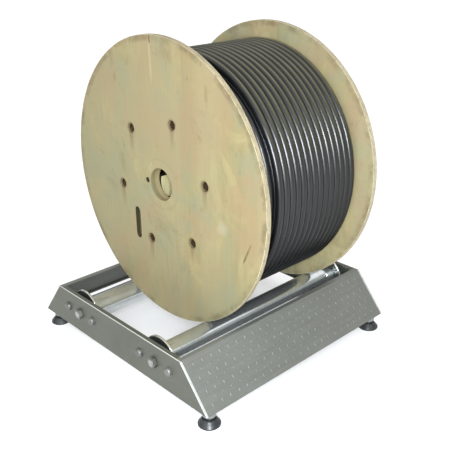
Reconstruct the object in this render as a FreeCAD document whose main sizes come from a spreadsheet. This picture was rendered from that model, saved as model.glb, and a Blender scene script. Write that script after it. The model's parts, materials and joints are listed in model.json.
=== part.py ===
import FreeCAD, Part
import math
import os
import Sketcher

# Cable drum on a low, unpowered roller stand (a drum unwinder).
# World frame in millimetres: +Z up, origin on the floor under the middle of the stand.
# Drum and rollers turn about Y, the near end of the stand faces -Y, the pay-off side faces +X.

DRIVING_SIZES = {
    # plywood drum
    "flange_dia": 800.0,
    "flange_thick": 15.0,
    "bore_dia": 92.0,
    "drive_hole_dia": 16.0,
    "drive_hole_reach": 60.0,
    "inside_width": 406.0,
    "near_flange_face": -175.0,
    "barrel_dia": 488.0,
    "barrel_wall": 8.0,
    "hub_board_dia": 280.0,
    "hub_board_thick": 15.0,
    "spreader_thick": 18.0,
    "spreader_high": 108.0,
    "spreader_above": 5.0,
    "tie_circle_dia": 370.0,
    "tie_recess_dia": 28.0,
    "tie_recess_deep": 10.0,
    "tie_rod_dia": 10.0,
    "slot_wide": 24.0,
    "slot_long": 98.0,
    "slot_across": -118.0,
    "slot_up": -145.0,
    # wound cable
    "cable_dia": 22.0,
    "cable_layers": 5.0,
    "outer_turns": 15.0,
    # rollers
    "roller_dia": 73.0,
    "roller_wall": 3.0,
    "roller_reach": 177.0,
    "roller_height": 112.0,
    "rim_gap": 0.3,
    "guide_dia": 130.0,
    "guide_thick": 6.0,
    "shaft_dia": 28.0,
    "journal_dia": 20.0,
    "journal_tip": 12.0,
    "shaft_nut_across": 28.0,
    "shaft_nut_thick": 9.0,
    # ball bearing of each journal
    "bearing_dia": 47.0,
    "bearing_wide": 14.0,
    "ball_dia": 7.9,
    "ball_circle": 33.5,
    # two-bolt housing of each bearing
    "housing_thick": 16.0,
    "housing_boss_dia": 66.0,
    "ear_thick": 8.0,
    "ear_dia": 30.0,
    "ear_reach": 62.0,
    "housing_bolt_dia": 10.0,
    # folded sheet frame
    "stand_long": 730.0,
    "base_reach": 384.0,
    "top_reach": 286.0,
    "frame_low": 46.0,
    "frame_high": 164.0,
    "sheet_thick": 3.0,
    "fold_deep": 14.0,
    # levelling feet
    "foot_across": 357.0,
    "foot_along": 335.0,
    "pad_dia": 60.0,
    "stem_dia": 12.0,
    "adjuster_dia": 34.0,
}
TIE_COUNT = 6
TIE_FIRST_ANGLE = 12.0
BALL_COUNT = 8
CLEARANCE = 0.05
BEND = 2.5
THROUGH = 400.0

doc = FreeCAD.newDocument("cable_drum_roller_stand")
sheet = doc.addObject("Spreadsheet::Sheet", "dims")
nodes = []


class Size:
    """A length that carries its value and the sheet formula that gives it."""

    def __init__(self, value, formula):
        self.value = value
        self.formula = formula

    def __add__(self, other):
        other = as_size(other)
        return Size(self.value + other.value, f"({self.formula} + {other.formula})")

    def __sub__(self, other):
        other = as_size(other)
        return Size(self.value - other.value, f"({self.formula} - {other.formula})")

    def __mul__(self, other):
        other = as_size(other)
        return Size(self.value * other.value, f"({self.formula} * {other.formula})")

    def __truediv__(self, other):
        other = as_size(other)
        return Size(self.value / other.value, f"({self.formula} / {other.formula})")

    def __neg__(self):
        return Size(-self.value, f"(0 - {self.formula})")


def as_size(number):
    """A plain number as a Size; a Size stays as it is."""
    return number if isinstance(number, Size) else Size(float(number), f"({float(number)})")


def root(size):
    return Size(math.sqrt(size.value), f"sqrt({size.formula})")


def fill_sheet():
    """Write the driving sizes into the sheet and return them by name."""
    sizes = {}
    for row, (alias, value) in enumerate(DRIVING_SIZES.items(), start=1):
        sheet.set(f"A{row}", alias)
        sheet.set(f"B{row}", str(value))
        sheet.setAlias(f"B{row}", alias)
        sizes[alias] = Size(value, f"dims.{alias}")
    doc.recompute()
    return sizes


D = fill_sheet()

# Places that follow from the driving sizes
HALF = D["stand_long"] / 2
PLATE_INNER = HALF - D["sheet_thick"]
GUIDE_FACE = PLATE_INNER - D["housing_thick"] - 3
TUBE_END = GUIDE_FACE - D["guide_thick"]
CONTACT_REACH = D["flange_dia"] / 2 + D["roller_dia"] / 2 + D["rim_gap"]
DRUM_RISE = root(CONTACT_REACH * CONTACT_REACH - D["roller_reach"] * D["roller_reach"])
DRUM_AXIS = D["roller_height"] + DRUM_RISE
NEAR_INSIDE = D["near_flange_face"] + D["flange_thick"]
FAR_INSIDE = NEAR_INSIDE + D["inside_width"]
DRUM_MIDDLE = NEAR_INSIDE + D["inside_width"] / 2

# Turns of a piece's own axes: its Z points to +Y, to -Y, or to +Y with X reversed
ALONG = FreeCAD.Rotation(FreeCAD.Vector(1, 0, 0), -90)
NEAR_OUT = FreeCAD.Rotation(FreeCAD.Vector(1, 0, 0), 90)
HALF_TURN = FreeCAD.Rotation(FreeCAD.Vector(0, 0, 1), 180)
FAR_OUT = HALF_TURN.multiply(NEAR_OUT)
ENDS = {"near": (-1, NEAR_OUT), "far": (1, FAR_OUT)}
SIDES = {"front": 1, "rear": -1}


# ---------------------------------------------------------------- building helpers

def bind(item, prop, size):
    item.setExpression(prop, as_size(size).formula)


def place(item, across=0, along=0, up=0, turn=FreeCAD.Rotation()):
    """Put a piece at its place and tie the place to the sheet."""
    spot = [as_size(size) for size in (across, along, up)]
    item.Placement = FreeCAD.Placement(FreeCAD.Vector(*[size.value for size in spot]), turn)
    for axis, size in zip("xyz", spot):
        bind(item, f"Placement.Base.{axis}", size)


def new_body(label):
    body = doc.addObject("PartDesign::Body", label)
    body.Label = label
    return body


def new_sketch(body, role="XY_Plane", lift=0):
    """A sketch on one of the body's own origin planes, moved along the plane's normal."""
    sketch = body.newObject("Sketcher::SketchObject", "Sketch")
    plane = next(item for item in body.Origin.OriginFeatures if item.Role == role)
    sketch.AttachmentSupport = [(plane, "")]
    sketch.MapMode = "FlatFace"
    lift = as_size(lift)
    sketch.AttachmentOffset = FreeCAD.Placement(FreeCAD.Vector(0, 0, lift.value), FreeCAD.Rotation())
    bind(sketch, "AttachmentOffset.Base.z", lift)
    return sketch


def pin(sketch, edge, end, across, up):
    """Fix one point of an edge at sheet-driven distances from the sketch's origin."""
    for kind, size in (("DistanceX", as_size(across)), ("DistanceY", as_size(up))):
        rule = Sketcher.Constraint(kind, -1, 1, edge, end, size.value)
        number = sketch.addConstraint(rule)
        bind(sketch, f"Constraints[{number}]", size)


def draw_outline(sketch, corners):
    """A closed straight-sided outline with every corner pinned to the sheet."""
    points = [FreeCAD.Vector(as_size(x).value, as_size(y).value, 0) for x, y in corners]
    count = len(points)
    first = len(sketch.Geometry)
    for step in range(count):
        sketch.addGeometry(Part.LineSegment(points[step], points[(step + 1) % count]), False)
    for step in range(count):
        follower = first + (step + 1) % count
        sketch.addConstraint(Sketcher.Constraint("Coincident", first + step, 2, follower, 1))
        pin(sketch, first + step, 1, *corners[step])


def draw_circle(sketch, across, up, diameter):
    centre = FreeCAD.Vector(as_size(across).value, as_size(up).value, 0)
    diameter = as_size(diameter)
    ring = Part.Circle(centre, FreeCAD.Vector(0, 0, 1), diameter.value / 2)
    edge = sketch.addGeometry(ring, False)
    pin(sketch, edge, 3, across, up)
    number = sketch.addConstraint(Sketcher.Constraint("Diameter", edge, diameter.value))
    bind(sketch, f"Constraints[{number}]", diameter)


def pad(body, sketch, length, reverse=False):
    feature = body.newObject("PartDesign::Pad", "Pad")
    feature.Profile = sketch
    bind(feature, "Length", length)
    feature.Reversed = reverse
    sketch.Visibility = False
    return feature


def pocket(body, sketch, length, reverse=False):
    """Cut below the sketch, or above it with reverse; the volume has to fall."""
    doc.recompute()
    before = body.Shape.Volume
    feature = body.newObject("PartDesign::Pocket", "Pocket")
    feature.Profile = sketch
    bind(feature, "Length", length)
    feature.Reversed = reverse
    doc.recompute()
    if body.Shape.Volume >= before - 1e-6:
        raise RuntimeError(f"{body.Label}: a pocket removed nothing")
    return feature


def revolve(body, corners, kind="PartDesign::Revolution"):
    """Turn an outline of (radius, height) corners about the body's Z axis."""
    sketch = new_sketch(body, "XZ_Plane")
    draw_outline(sketch, corners)
    feature = body.newObject(kind, "Revolution")
    feature.Profile = sketch
    feature.ReferenceAxis = (sketch, ["V_Axis"])
    feature.Angle = 360
    return feature


def round_edges(body, radius, chosen):
    """Fillet the edges of the body's last shape that the test picks."""
    doc.recompute()
    base = body.Tip
    names = [f"Edge{i}" for i, edge in enumerate(base.Shape.Edges, start=1) if chosen(edge)]
    if not names:
        raise RuntimeError(f"{body.Label}: no edge to round")
    feature = body.newObject("PartDesign::Fillet", "Fillet")
    feature.Base = (base, names)
    feature.Radius = radius
    return feature


def level_edge(axis, height):
    """Test for an edge that lies wholly at one height along an axis of the body."""
    def chosen(edge):
        low = getattr(edge.BoundBox, f"{axis}Min")
        high = getattr(edge.BoundBox, f"{axis}Max")
        return abs(low - height) < 0.01 and abs(high - height) < 0.01
    return chosen


def keep(item):
    """Count a finished object as a sub-part."""
    nodes.append(item)
    return item


def ring_body(label, inner, outer, low, high):
    """A plain turned ring about the body's Z axis."""
    body = new_body(label)
    revolve(body, [(inner, low), (outer, low), (outer, high), (inner, high)])
    return body


def cylinder(name, radius, height, low=0):
    item = doc.addObject("Part::Cylinder", name)
    bind(item, "Radius", radius)
    bind(item, "Height", height)
    place(item, up=low)
    return item


def cut(name, base, tool):
    item = doc.addObject("Part::Cut", name)
    item.Base = base
    item.Tool = tool
    return item


def spot(across, along, up, turn):
    return FreeCAD.Placement(FreeCAD.Vector(across.value, along.value, up.value), turn)


def repeat(label, master, spots):
    """One node that holds a separate copy of the master's solid at each spot."""
    doc.recompute()
    copies = []
    for where in spots:
        solid = master.Shape.copy()
        solid.Placement = where.multiply(solid.Placement)
        copies.append(solid)
    node = doc.addObject("Part::Feature", label)
    node.Shape = Part.makeCompound(copies)
    node.Placement = FreeCAD.Placement()
    return keep(node)


# ---------------------------------------------------------------- sheet frame

def end_plate(label, side, turn):
    """Trapezoid end wall with inward top and bottom folds and the holes for two rollers."""
    body = new_body(label)
    web = new_sketch(body)
    draw_outline(web, [(-D["base_reach"], D["frame_low"]), (D["base_reach"], D["frame_low"]),
                       (D["top_reach"], D["frame_high"]), (-D["top_reach"], D["frame_high"])])
    pad(body, web, D["sheet_thick"])
    inner_low = D["frame_low"] + D["sheet_thick"]
    inner_high = D["frame_high"] - D["sheet_thick"]
    for reach, low, high in ((D["top_reach"], inner_high, D["frame_high"]),
                             (D["base_reach"], D["frame_low"], inner_low)):
        end = reach - D["fold_deep"] - 1
        fold = new_sketch(body)
        draw_outline(fold, [(-end, low), (end, low), (end, high), (-end, high)])
        pad(body, fold, D["fold_deep"] - D["sheet_thick"], reverse=True)
    for height in (D["frame_high"], D["frame_low"]):
        outer = level_edge("Y", height.value)
        face = level_edge("Z", D["sheet_thick"].value)
        round_edges(body, BEND, lambda edge: outer(edge) and face(edge))
    holes = new_sketch(body)
    for hand in SIDES.values():
        centre = D["roller_reach"] * hand
        draw_circle(holes, centre, D["roller_height"], D["journal_dia"] + 10)
        for step in (-1, 1):
            bolt = centre + D["ear_reach"] * step
            draw_circle(holes, bolt, D["roller_height"], D["housing_bolt_dia"] + 1)
    pocket(body, holes, D["sheet_thick"] * 2, reverse=True)
    place(body, along=PLATE_INNER * side, turn=turn)
    return keep(body)


def side_panel(label, turn, side):
    """Sloping tread-sheet side with inward folds along its top and bottom."""
    body = new_body(label)
    rise = D["frame_high"] - D["frame_low"]
    run = D["base_reach"] - D["top_reach"]
    slope = run / rise
    level_thick = D["sheet_thick"] * root(slope * slope + 1)
    inner_high = D["frame_high"] - D["sheet_thick"]
    inner_low = D["frame_low"] + D["sheet_thick"]
    top_inner = D["top_reach"] + slope * D["sheet_thick"] - level_thick
    base_inner = D["base_reach"] - slope * D["sheet_thick"] - level_thick
    top_fold = D["top_reach"] - D["fold_deep"]
    base_fold = D["base_reach"] - D["fold_deep"]
    section = new_sketch(body)
    draw_outline(section, [(D["top_reach"], D["frame_high"]), (top_fold, D["frame_high"]),
                           (top_fold, inner_high), (top_inner, inner_high),
                           (base_inner, inner_low), (base_fold, inner_low),
                           (base_fold, D["frame_low"]), (D["base_reach"], D["frame_low"])])
    length = PLATE_INNER * 2 - 0.4
    pad(body, section, length)
    place(body, along=length / 2 * side, turn=turn)
    return keep(body)


def foot_bracket(label, hand, side):
    """Welded corner plate with a threaded boss for one levelling foot."""
    seat = D["frame_low"] + D["sheet_thick"]
    plate_across = 50.0
    plate_along = 60.0
    plate_thick = 5.0
    outer_across = D["foot_across"] + 13
    outer_along = PLATE_INNER - 0.5
    low_across = outer_across - plate_across if hand > 0 else -outer_across
    low_along = outer_along - plate_along if side > 0 else -outer_along
    plate = doc.addObject("Part::Box", label + "_plate")
    bind(plate, "Length", plate_across)
    bind(plate, "Width", plate_along)
    bind(plate, "Height", plate_thick)
    place(plate, low_across, low_along, seat)
    boss = cylinder(label + "_boss", 9.0, 8.0)
    centre = (D["foot_across"] * hand, D["foot_along"] * side)
    place(boss, *centre, seat + plate_thick)
    thread = cylinder(label + "_thread", D["stem_dia"] / 2 + CLEARANCE, 60.0)
    place(thread, *centre, D["frame_low"])
    joined = doc.addObject("Part::Fuse", label + "_solid")
    joined.Base = plate
    joined.Tool = boss
    bracket = cut(label, joined, thread)
    bracket.Label = label
    return keep(bracket)


# ---------------------------------------------------------------- levelling feet

def foot_pad(label, centre):
    body = new_body(label)
    outer = D["pad_dia"] / 2
    revolve(body, [(0, 0), (outer, 0), (outer, 4), (outer - 4, 9), (outer - 11, 17),
                   (outer - 13, 18), (8.2, 18), (8.2, 6), (0, 6)])
    place(body, *centre)
    return keep(body)


def foot_stem(label, centre):
    """Threaded stem with a ball foot below and a round steel collar above the pad."""
    body = new_body(label)
    shank = D["stem_dia"] / 2
    revolve(body, [(0, 6.2), (5, 6.2), (8, 9), (8, 14), (shank, 16.5), (shank, 19),
                   (10.5, 19), (10.5, 24), (shank, 24), (shank, 62), (shank - 1.5, 64), (0, 64)])
    place(body, *centre)
    return keep(body)


def foot_adjuster(label, centre):
    """Black hand collar moulded onto the stem, up against the underside of the frame."""
    body = new_body(label)
    bore = D["stem_dia"] / 2 + CLEARANCE
    outer = D["adjuster_dia"] / 2
    top = D["frame_low"] - 0.5
    revolve(body, [(bore, 24.1), (outer - 2, 24.1), (outer, 26), (outer, top - 2),
                   (outer - 2, top), (bore, top)])
    place(body, *centre)
    return keep(body)


# ---------------------------------------------------------------- rollers

def roller(name, hand):
    """Tube, guide discs and stepped shaft of one roller, with its rotating bearing rings."""
    centre = {"across": D["roller_reach"] * hand, "up": D["roller_height"], "turn": ALONG}
    outer = D["roller_dia"] / 2
    tube = ring_body(f"{name}_roller_tube", outer - D["roller_wall"], outer, -TUBE_END, TUBE_END)
    place(keep(tube), **centre)
    for end, (side, turn) in ENDS.items():
        low, high = sorted((TUBE_END * side, GUIDE_FACE * side), key=lambda size: size.value)
        disc = ring_body(f"{name}_guide_disc_{end}", D["shaft_dia"] / 2, D["guide_dia"] / 2, low, high)
        doc.recompute()
        round_edges(disc, 1.0, lambda edge: edge.BoundBox.XLength > D["guide_dia"].value - 1)
        place(keep(disc), **centre)
    shaft = new_body(f"{name}_roller_shaft")
    step = PLATE_INNER - D["housing_thick"]
    tip = HALF + D["journal_tip"]
    thick = D["shaft_dia"] / 2
    thin = D["journal_dia"] / 2
    groove_in = PLATE_INNER - 0.3
    groove_out = PLATE_INNER - 1.7
    root_radius = thin - 0.5
    half = [(thin - 1, tip), (thin, tip - 1), (thin, groove_in), (root_radius, groove_in),
            (root_radius, groove_out), (thin, groove_out), (thin, step), (thick, step)]
    lower = [(radius, -height) for radius, height in half]
    revolve(shaft, [(0, -tip)] + lower + half[::-1] + [(0, tip)])
    place(keep(shaft), **centre)


def roller_ends(hand=None):
    """Frames at the inner face of the end walls, on the roller axes, with Z pointing out."""
    hands = [hand] if hand else list(SIDES.values())
    return [spot(D["roller_reach"] * each, PLATE_INNER * side, D["roller_height"], turn)
            for each in hands for side, turn in ENDS.values()]


def race(name, inner, outer):
    """One grooved bearing ring, centred in the depth of the housing's seat."""
    body = cylinder(name + "_blank", outer, D["bearing_wide"], -D["housing_thick"])
    bore = cylinder(name + "_bore", inner, D["bearing_wide"] + 2, -D["housing_thick"] - 1)
    groove = doc.addObject("Part::Torus", name + "_groove")
    bind(groove, "Radius1", D["ball_circle"] / 2)
    bind(groove, "Radius2", D["ball_dia"] / 2 + 0.1)
    place(groove, up=-D["housing_thick"] + D["bearing_wide"] / 2)
    return cut(name + "_ring", cut(name + "_tube", body, bore), groove)


def bearings():
    inner = race("inner_race", D["journal_dia"] / 2 + 0.01, 14.3)
    outer = race("outer_race", 19.0, D["bearing_dia"] / 2)
    repeat("bearing_outer_rings", outer, roller_ends())
    for name, hand in SIDES.items():
        repeat(f"{name}_bearing_inner_rings", inner, roller_ends(hand))
    ball = doc.addObject("Part::Sphere", "ball")
    bind(ball, "Radius", D["ball_dia"] / 2)
    middle = -D["housing_thick"] + D["bearing_wide"] / 2
    reach = D["ball_circle"].value / 2
    ball_spots = []
    for end in roller_ends():
        for step in range(BALL_COUNT):
            angle = 2 * math.pi * step / BALL_COUNT
            centre = FreeCAD.Vector(reach * math.cos(angle), reach * math.sin(angle), middle.value)
            ball_spots.append(end.multiply(FreeCAD.Placement(centre, FreeCAD.Rotation())))
    repeat("bearing_balls", ball, ball_spots)
    seal_thick = 1.2
    ring = cylinder("seal_blank", 18.8, seal_thick)
    seal = cut("seal_ring", ring, cylinder("seal_bore", 14.6, seal_thick * 3, -seal_thick))
    face = -D["housing_thick"] + 0.4
    back = face + D["bearing_wide"] - 0.8 - seal_thick
    seal_spots = [end.multiply(FreeCAD.Placement(FreeCAD.Vector(0, 0, low.value), FreeCAD.Rotation()))
                  for end in roller_ends() for low in (face, back)]
    repeat("bearing_seals", seal, seal_spots)


def circlips():
    """Open retaining rings in the shaft grooves, just outside each bearing."""
    low = -1.6
    thick = 1.2
    ring = cylinder("clip_blank", 13.4, thick, low)
    bored = cut("clip_bored", ring, cylinder("clip_bore", 9.55, thick * 3, low - thick))
    mouth = doc.addObject("Part::Box", "clip_mouth")
    bind(mouth, "Length", 8.0)
    bind(mouth, "Width", 20.0)
    bind(mouth, "Height", thick * 3)
    place(mouth, -4.0, 0.0, low - thick)
    clip = cut("clip_open", bored, mouth)
    for name, hand in SIDES.items():
        repeat(f"{name}_shaft_circlips", clip, roller_ends(hand))


def shaft_nuts():
    """Hexagon nuts on the shaft ends, just clear of the end walls' outer faces."""
    start = D["sheet_thick"] + 1
    bore = D["journal_dia"] / 2 + CLEARANCE
    nut = hex_nut("shaft_nut", D["shaft_nut_across"], D["shaft_nut_thick"], bore, start)
    for name, hand in SIDES.items():
        repeat(f"{name}_shaft_nuts", nut, roller_ends(hand))


# ---------------------------------------------------------------- bearing housings

def housing(label, hand, side, turn):
    """Two-bolt flange housing on the inner face of an end wall, its boss towards the roller."""
    body = new_body(label)
    ears = new_sketch(body)
    reach = D["ear_reach"]
    half = D["ear_dia"] / 2
    draw_outline(ears, [(-reach, -half), (reach, -half), (reach, half), (-reach, half)])
    pad(body, ears, D["ear_thick"], reverse=True)
    for step in (-1, 1):
        tip = new_sketch(body)
        draw_circle(tip, reach * step, 0, D["ear_dia"])
        pad(body, tip, D["ear_thick"], reverse=True)
    boss = new_sketch(body)
    draw_circle(boss, 0, 0, D["housing_boss_dia"])
    pad(body, boss, D["housing_thick"], reverse=True)
    round_edges(body, 1.5, level_edge("Z", -D["housing_thick"].value))
    seat = new_sketch(body, lift=-D["housing_thick"])
    draw_circle(seat, 0, 0, D["bearing_dia"] + 0.02)
    pocket(body, seat, D["bearing_wide"], reverse=True)
    holes = new_sketch(body)
    draw_circle(holes, 0, 0, 36.0)
    for step in (-1, 1):
        draw_circle(holes, reach * step, 0, D["housing_bolt_dia"] + 1)
    pocket(body, holes, D["housing_thick"] + 5)
    place(body, D["roller_reach"] * hand, PLATE_INNER * side, D["roller_height"], turn)
    return keep(body)


def hex_nut(name, across_flats, height, bore, low):
    prism = doc.addObject("Part::Prism", name + "_blank")
    prism.Polygon = 6
    bind(prism, "Circumradius", as_size(across_flats) / (2 * math.cos(math.pi / 6)))
    bind(prism, "Height", height)
    place(prism, up=low)
    return cut(name, prism, cylinder(name + "_bore", bore, THROUGH, -THROUGH / 2))


def washer(name, outer, bore, thick, low):
    blank = cylinder(name + "_blank", outer, thick, low)
    return cut(name, blank, cylinder(name + "_bore", bore, THROUGH, -THROUGH / 2))


def housing_fasteners():
    """Dome-head bolts from outside, with their washers, and nuts on the housing's ears."""
    outside = D["sheet_thick"]
    washer_thick = 2.0
    head = outside + washer_thick
    shank = D["housing_bolt_dia"] / 2
    nut_high = 8.0
    bolt = new_body("housing_bolt_master")
    reach = D["ear_thick"] + nut_high + 1
    head_high = 7.0
    dome = 12.0
    revolve(bolt, [(0, -reach), (shank - 1, -reach), (shank, -reach + 1), (shank, head),
                   (dome, head), (dome, head + head_high), (0, head + head_high)])
    round_edges(bolt, 5.5, level_edge("Z", (head + head_high).value))
    spots = []
    for hand in SIDES.values():
        for side, turn in ENDS.values():
            for step in (-1, 1):
                across = D["roller_reach"] * hand + D["ear_reach"] * step
                spots.append(spot(across, PLATE_INNER * side, D["roller_height"], turn))
    repeat("housing_bolts", bolt, spots)
    loose = shank + CLEARANCE
    repeat("housing_washers", washer("housing_washer", 13.5, loose, washer_thick, outside), spots)
    nut = hex_nut("housing_nut", 17.0, nut_high, loose, -D["ear_thick"] - nut_high)
    repeat("housing_nuts", nut, spots)


# ---------------------------------------------------------------- cable drum

def tie_points(mirror=1):
    """Centres of the tie rods about the drum's axis, as seen from the outer side."""
    reach = D["tie_circle_dia"] / 2
    points = []
    for step in range(TIE_COUNT):
        angle = math.radians(TIE_FIRST_ANGLE + 360 / TIE_COUNT * step)
        points.append((reach * (mirror * math.cos(angle)), reach * math.sin(angle)))
    return points


def flange(label, side, turn):
    """Plywood flange: spindle bore, drive-pin hole and sunk tie-rod seats in its outer face."""
    body = new_body(label)
    disc = new_sketch(body)
    draw_circle(disc, 0, 0, D["flange_dia"])
    pad(body, disc, D["flange_thick"])
    doc.recompute()
    round_edges(body, 1.5, lambda edge: edge.BoundBox.XLength > D["flange_dia"].value - 1)
    holes = new_sketch(body)
    draw_circle(holes, 0, 0, D["bore_dia"])
    draw_circle(holes, D["drive_hole_reach"] * side, 0, D["drive_hole_dia"])
    for across, up in tie_points(-side):
        draw_circle(holes, across, up, D["tie_rod_dia"] + 1)
    pocket(body, holes, D["flange_thick"] * 2, reverse=True)
    recesses = new_sketch(body, lift=D["flange_thick"])
    for across, up in tie_points(-side):
        draw_circle(recesses, across, up, D["tie_recess_dia"])
    pocket(body, recesses, D["tie_recess_deep"])
    if side < 0:
        cut_slot(body)
    inside = NEAR_INSIDE if side < 0 else FAR_INSIDE
    place(body, 0, inside, DRUM_AXIS, turn)
    return keep(body)


def cut_slot(body):
    """Upright slot with round ends, for a hand or for the cable's inner end."""
    half = D["slot_wide"] / 2
    reach = D["slot_long"] / 2 - half
    left = D["slot_across"] - half
    right = D["slot_across"] + half
    low = D["slot_up"] - reach
    high = D["slot_up"] + reach
    straight = new_sketch(body)
    draw_outline(straight, [(left, low), (right, low), (right, high), (left, high)])
    pocket(body, straight, D["flange_thick"] * 2, reverse=True)
    for up in (low, high):
        end = new_sketch(body)
        draw_circle(end, D["slot_across"], up, D["slot_wide"])
        pocket(body, end, D["flange_thick"] * 2, reverse=True)


def hub_board(label, side, turn):
    """Round board nailed inside the flange, bored through with it for the spindle."""
    body = new_body(label)
    disc = new_sketch(body)
    draw_circle(disc, 0, 0, D["hub_board_dia"])
    pad(body, disc, D["hub_board_thick"], reverse=True)
    opening = new_sketch(body)
    draw_circle(opening, 0, 0, D["bore_dia"])
    pocket(body, opening, D["hub_board_thick"] * 2)
    inside = NEAR_INSIDE if side < 0 else FAR_INSIDE
    place(body, 0, inside, DRUM_AXIS, turn)
    return keep(body)


def spreader_board():
    """Board on edge between the hub boards, close beside the spindle's way."""
    body = new_body("spreader_board")
    section = new_sketch(body)
    right = -D["bore_dia"] / 2 - 0.5
    left = right - D["spreader_thick"]
    high = D["spreader_above"]
    low = high - D["spreader_high"]
    draw_outline(section, [(left, low), (right, low), (right, high), (left, high)])
    near_end = NEAR_INSIDE + D["hub_board_thick"] + 2
    far_end = FAR_INSIDE - D["hub_board_thick"]
    pad(body, section, far_end - near_end)
    place(body, 0, far_end, DRUM_AXIS, NEAR_OUT)
    keep(body)


def tie_fasteners():
    """Tie rods through both flanges, with a washer and a nut sunk in each recess."""
    washer_thick = 2.0
    nut_high = 6.0
    seat = D["flange_thick"] - D["tie_recess_deep"]
    rod_end = seat + washer_thick + nut_high + 1
    rod = cylinder("tie_rod", D["tie_rod_dia"] / 2, D["inside_width"] + rod_end * 2, -rod_end)
    place(rod, up=-D["inside_width"] - rod_end)
    loose = D["tie_rod_dia"] / 2 + CLEARANCE
    nut = hex_nut("tie_nut", 17.0, nut_high, loose, seat + washer_thick)
    plate = washer("tie_washer", 12.5, loose, washer_thick, seat)
    near_spots = []
    far_spots = []
    for across, up in tie_points():
        height = DRUM_AXIS + up
        near_spots.append(spot(across, NEAR_INSIDE, height, NEAR_OUT))
        far_spots.append(spot(across, FAR_INSIDE, height, FAR_OUT))
    repeat("tie_rods", rod, near_spots)
    repeat("tie_rod_washers", plate, near_spots + far_spots)
    repeat("tie_rod_nuts", nut, near_spots + far_spots)


def cable_winding():
    """Inner layers as one ring and the outer layer as a ring with a rib for every turn."""
    gap = 0.3
    barrel = D["barrel_dia"] / 2
    wound = barrel + D["cable_dia"] * (D["cable_layers"] - 1)
    half_width = D["inside_width"] / 2
    inner = ring_body("cable_inner_layers", barrel + gap, wound, -half_width + gap, half_width - gap)
    outer = new_body("cable_outer_layer")
    radius = D["cable_dia"] / 2
    low = half_width - D["cable_dia"] * D["outer_turns"]
    middle = wound + radius
    revolve(outer, [(wound + gap, low + gap), (middle, low + gap), (middle, half_width - gap),
                    (wound + gap, half_width - gap)])
    bump = new_sketch(outer, "XZ_Plane")
    centre = FreeCAD.Vector(middle.value - 1, (low + radius).value, 0)
    reach = radius - gap
    arc = Part.ArcOfCircle(Part.Circle(centre, FreeCAD.Vector(0, 0, 1), reach.value),
                           -math.pi / 2, math.pi / 2)
    edge = bump.addGeometry(arc, False)
    chord = bump.addGeometry(Part.LineSegment(arc.EndPoint, arc.StartPoint), False)
    bump.addConstraint(Sketcher.Constraint("Coincident", edge, 2, chord, 1))
    bump.addConstraint(Sketcher.Constraint("Coincident", chord, 2, edge, 1))
    pin(bump, edge, 3, middle - 1, low + radius)
    pin(bump, edge, 1, middle - 1, low + gap)
    bump.addConstraint(Sketcher.Constraint("Vertical", chord))
    rib = outer.newObject("PartDesign::Revolution", "Rib")
    rib.Profile = bump
    rib.ReferenceAxis = (bump, ["V_Axis"])
    rib.Angle = 360
    doc.recompute()
    turns = outer.newObject("PartDesign::LinearPattern", "Turns")
    turns.Originals = [rib]
    turns.Direction = (bump, ["V_Axis"])
    bind(turns, "Length", D["cable_dia"] * (D["outer_turns"] - 1))
    bind(turns, "Occurrences", D["outer_turns"])
    outer.Tip = turns
    for body in (inner, outer):
        place(keep(body), 0, DRUM_MIDDLE, DRUM_AXIS, ALONG)


def drum():
    for end, (side, turn) in ENDS.items():
        flange(f"{end}_flange", side, turn)
        hub_board(f"{end}_hub_board", side, turn)
    barrel = D["barrel_dia"] / 2
    half_width = D["inside_width"] / 2
    tube = ring_body("drum_barrel", barrel - D["barrel_wall"], barrel, -half_width, half_width)
    place(keep(tube), 0, DRUM_MIDDLE, DRUM_AXIS, ALONG)
    spreader_board()
    tie_fasteners()
    cable_winding()


# ---------------------------------------------------------------- assembly and export

def build():
    for end, (side, turn) in ENDS.items():
        end_plate(f"{end}_end_plate", side, turn)
    side_panel("front_side_panel", NEAR_OUT, 1)
    side_panel("rear_side_panel", FAR_OUT, -1)
    for name, hand in SIDES.items():
        roller(name, hand)
        for end, (side, turn) in ENDS.items():
            housing(f"{name}_{end}_housing", hand, side, turn)
            centre = (D["foot_across"] * hand, D["foot_along"] * side)
            foot_bracket(f"{name}_{end}_foot_bracket", hand, side)
            foot_pad(f"{name}_{end}_foot_pad", centre)
            foot_stem(f"{name}_{end}_foot_stem", centre)
            foot_adjuster(f"{name}_{end}_foot_adjuster", centre)
    bearings()
    circlips()
    shaft_nuts()
    housing_fasteners()
    drum()
    doc.recompute()


def check():
    """Stop before export when any object failed or any sub-part is not a sound solid."""
    for item in doc.Objects:
        if {"Invalid", "Error"} & set(item.State):
            raise RuntimeError(f"{item.Label} failed: {item.State}")
    for node in nodes:
        shape = node.Shape
        if shape.isNull() or not shape.isValid() or not shape.Solids:
            raise RuntimeError(f"{node.Label} has no sound shape")


def export():
    os.makedirs("parts", exist_ok=True)
    for node in nodes:
        node.Shape.exportStep(f"parts/{node.Label}.step")
        box = node.Shape.BoundBox
        print(f"{node.Label:28s} solids {len(node.Shape.Solids):3d} "
              f"x {box.XMin:8.1f} {box.XMax:8.1f} y {box.YMin:8.1f} {box.YMax:8.1f} "
              f"z {box.ZMin:8.1f} {box.ZMax:8.1f}")


build()
check()
export()
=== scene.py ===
import json
import math
import random

import bpy
from mathutils import Matrix, Vector


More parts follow.
